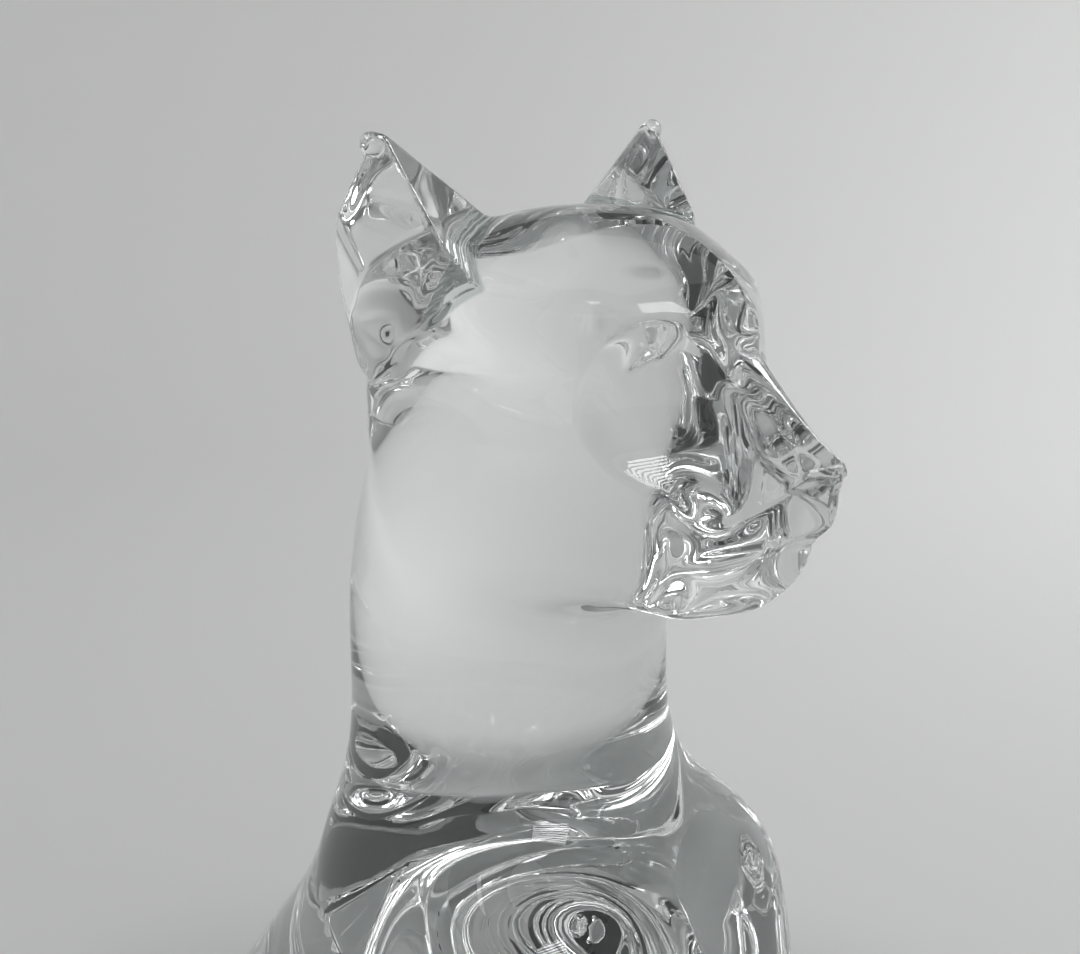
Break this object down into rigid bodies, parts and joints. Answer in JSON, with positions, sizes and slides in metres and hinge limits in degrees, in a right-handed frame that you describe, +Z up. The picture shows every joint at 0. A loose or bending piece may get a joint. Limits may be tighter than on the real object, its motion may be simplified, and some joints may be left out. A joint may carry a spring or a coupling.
{
  "type": "seated cat figurine",
  "caption": "Clear crystal glass figurine of a seated cat: upright neck, squared muzzle, hollowed eyes, pointed ears, tail round the base.",
  "frame": {"origin": "middle of the base on the plane that the figurine stands on, in the cat's plane of symmetry", "axes": "+Z up, -Y the way the cat faces, +X to the cat's left"},
  "size_m": [0.0705, 0.0945, 0.1585],
  "materials": {
    "crystal": "fire polished, clear with a faint grey-green tint in its depth"
  },
  "bodies": {
    "root": {"torso": "crystal", "neck": "crystal", "head": "crystal", "muzzle": "crystal", "ear_left": "crystal", "ear_right": "crystal", "foreleg_left": "crystal", "foreleg_right": "crystal", "forepaw_left": "crystal", "forepaw_right": "crystal", "thigh_left": "crystal", "thigh_right": "crystal", "hind_foot_left": "crystal", "hind_foot_right": "crystal", "tail": "crystal"}
  },
  "joints": []
}
